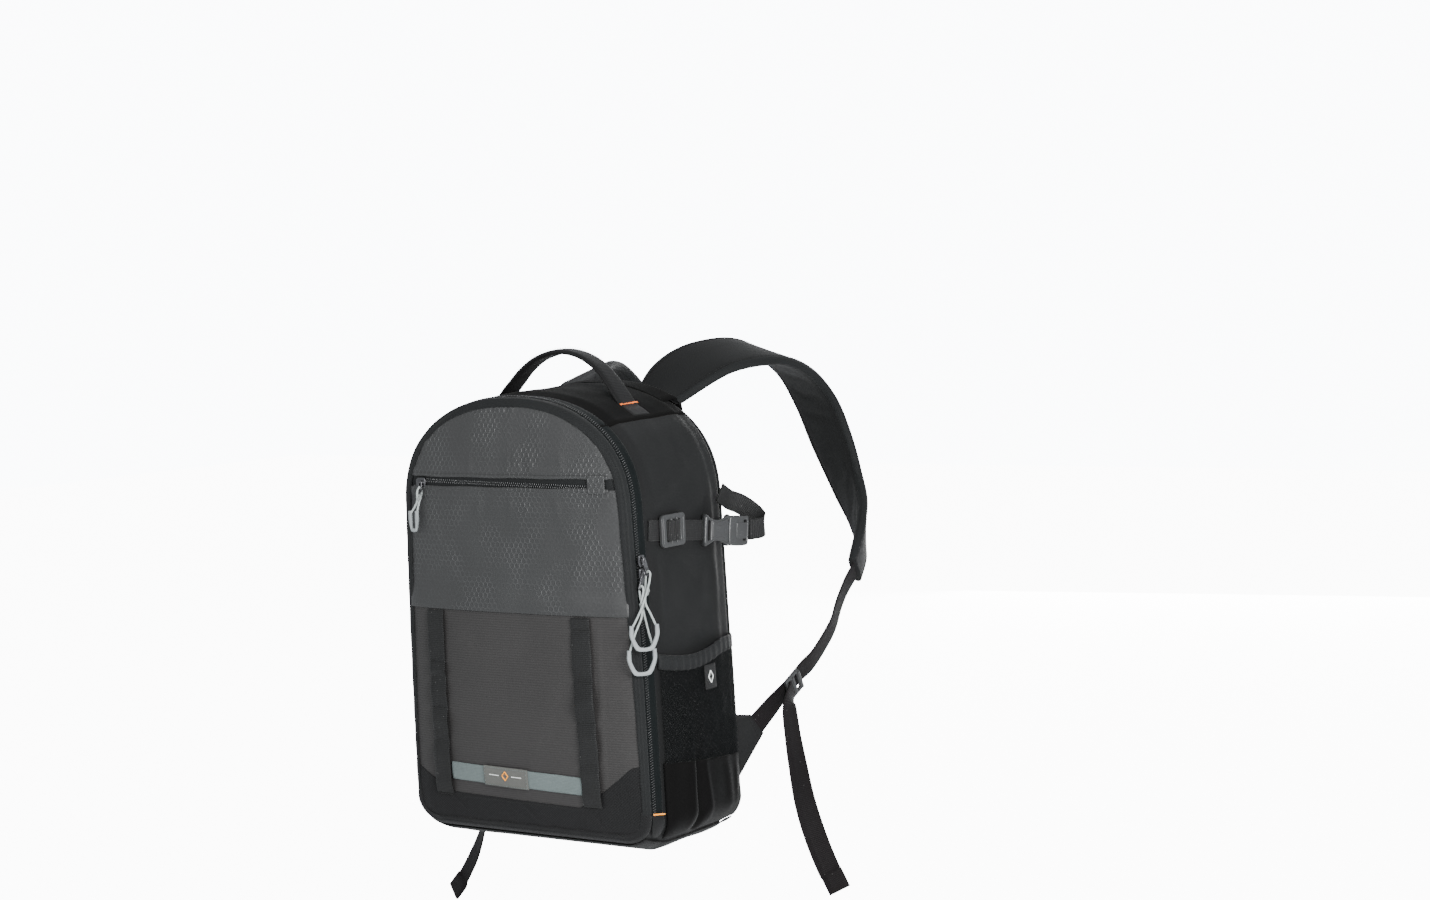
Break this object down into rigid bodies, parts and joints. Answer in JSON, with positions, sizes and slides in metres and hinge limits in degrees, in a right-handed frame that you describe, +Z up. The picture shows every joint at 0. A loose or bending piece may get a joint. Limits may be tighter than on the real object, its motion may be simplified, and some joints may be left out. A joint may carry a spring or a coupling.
{
  "type": "camera backpack",
  "caption": "Tall arched camera backpack in its worn form: padded clamshell body, zipped front pocket, mesh side pockets, buckled side strap, top handle and padded shoulder straps.",
  "frame": {"origin": "midway between the undersides of the two shoulder straps at their crest, where the bag hangs on the shoulders", "axes": "+Z up, +Y forward for the wearer (the shoulder straps reach that way and the front panel faces -Y), +X to the wearer's right, the side with the buckled strap"},
  "size_m": [0.4989, 0.443, 0.6255],
  "materials": {
    "side_cloth": "smooth matt woven polyester",
    "panel": "coated cloth with a soft sheen and a hexagon emboss",
    "ribbed_panel": "fine vertical ribs",
    "boot_cloth": "tough ripstop weave",
    "binding": "ribbed tape",
    "webbing": "ribbed webbing",
    "strap_webbing": "ribbed webbing, slightly warm",
    "grey_webbing": "light twill weave",
    "patch": "matt woven patch",
    "mesh": "open stretch mesh",
    "zip_coil": "semi-gloss nylon coil",
    "zip_metal": "dark plated",
    "buckle_plastic": "satin moulded",
    "thread": "dense thread bar",
    "pull_cord": "braided cord",
    "grip": "soft moulded"
  },
  "bodies": {
    "root": {"main_body": "side_cloth", "front_lid": "side_cloth", "back_pad": "side_cloth", "edge_band": "binding", "main_zip_tape": "binding", "main_zip_coil": "zip_coil", "upper_panel": "panel", "pocket_zip_tape": "binding", "middle_panel": "panel", "lower_panel": "ribbed_panel", "boot_front": "boot_cloth", "boot_base": "boot_cloth", "pocket_zip_coil": "zip_coil", "daisy_chain_left": "webbing", "daisy_chain_right": "webbing", "grey_strap": "grey_webbing", "strap_patch": "patch", "pocket_label": "webbing", "side_strap_front": "webbing", "ladder_lock": "buckle_plastic", "buckle_socket": "buckle_plastic", "buckle_tongue": "buckle_plastic", "side_strap_rear": "webbing", "side_strap_tail": "webbing", "grab_handle": "webbing", "yoke": "side_cloth", "side_pocket_base_right": "side_cloth", "side_pocket_mesh_right": "mesh", "side_pocket_binding_right": "binding", "zip_garage_right": "side_cloth", "zip_bartack_right": "thread", "handle_bartack_right": "thread", "shoulder_strap_right": "side_cloth", "upper_webbing_right": "strap_webbing", "wedge_right": "side_cloth", "adjuster_right": "buckle_plastic", "lower_webbing_right": "strap_webbing", "side_pocket_base_left": "side_cloth", "side_pocket_mesh_left": "mesh", "side_pocket_binding_left": "binding", "zip_garage_left": "side_cloth", "zip_bartack_left": "thread", "handle_bartack_left": "thread", "shoulder_strap_left": "side_cloth", "upper_webbing_left": "strap_webbing", "wedge_left": "side_cloth", "adjuster_left": "buckle_plastic", "lower_webbing_left": "strap_webbing", "slider_upper": "zip_metal", "puller_upper": "zip_metal", "pull_cord_upper": "pull_cord", "grip_upper": "grip", "slider_lower": "zip_metal", "puller_lower": "zip_metal", "pull_cord_lower": "pull_cord", "grip_lower": "grip", "slider_pocket": "zip_metal", "puller_pocket": "zip_metal", "pull_cord_pocket": "pull_cord", "grip_pocket": "grip"}
  },
  "joints": []
}
